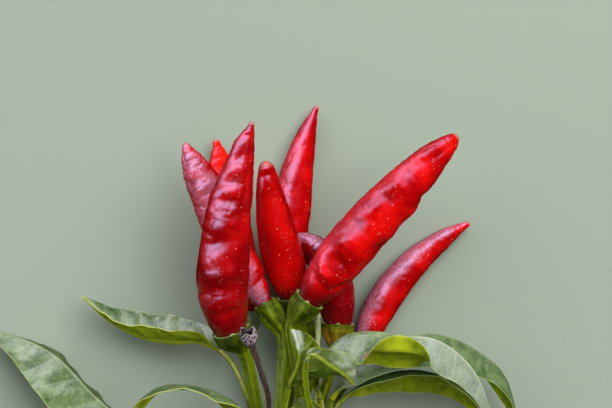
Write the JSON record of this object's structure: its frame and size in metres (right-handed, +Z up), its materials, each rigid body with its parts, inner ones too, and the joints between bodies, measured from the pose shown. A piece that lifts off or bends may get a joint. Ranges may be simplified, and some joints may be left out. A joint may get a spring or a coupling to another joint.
{
  "type": "cut chilli pepper shoot",
  "caption": "Cut fruiting shoot of a chilli pepper plant, lying down: a cluster of upright red fruits in green cups on short stalks, above curled leaves on the stem.",
  "frame": {"origin": "middle of the shoot's box, on the surface that it lies on", "axes": "+Y from the stem's cut end to the tips of the fruits, +Z up from the surface that it lies on, +X across the shoot"},
  "size_m": [0.1396, 0.1246, 0.039],
  "materials": {
    "fruit_skin": "gloss",
    "green_stalk": "satin",
    "stem": "satin",
    "leaf": "satin",
    "dried_stalk": "matte",
    "young_stalk": "satin"
  },
  "bodies": {
    "root": {"stem": "stem", "fruit_front_left": "fruit_skin", "stalk_front_left": "green_stalk", "fruit_behind_left": "fruit_skin", "stalk_behind_left": "green_stalk", "fruit_small_back_left": "fruit_skin", "stalk_small_back_left": "green_stalk", "fruit_middle": "fruit_skin", "stalk_middle": "green_stalk", "fruit_tall_back": "fruit_skin", "stalk_tall_back": "green_stalk", "fruit_front_right": "fruit_skin", "stalk_front_right": "green_stalk", "fruit_under_front_right": "fruit_skin", "stalk_under_front_right": "green_stalk", "fruit_low_right": "fruit_skin", "stalk_low_right": "green_stalk", "leaf_right_front": "leaf", "leaf_right_back": "leaf", "leaf_right_low": "leaf", "leaf_centre_curled": "leaf", "leaf_centre_pointed": "leaf", "leaf_centre_low": "leaf", "leaf_left_back": "leaf", "leaf_left_front": "leaf", "leaf_far_left": "leaf", "dried_stalk": "dried_stalk", "young_stalk_right": "young_stalk", "young_stalk_left": "young_stalk"}
  },
  "joints": []
}
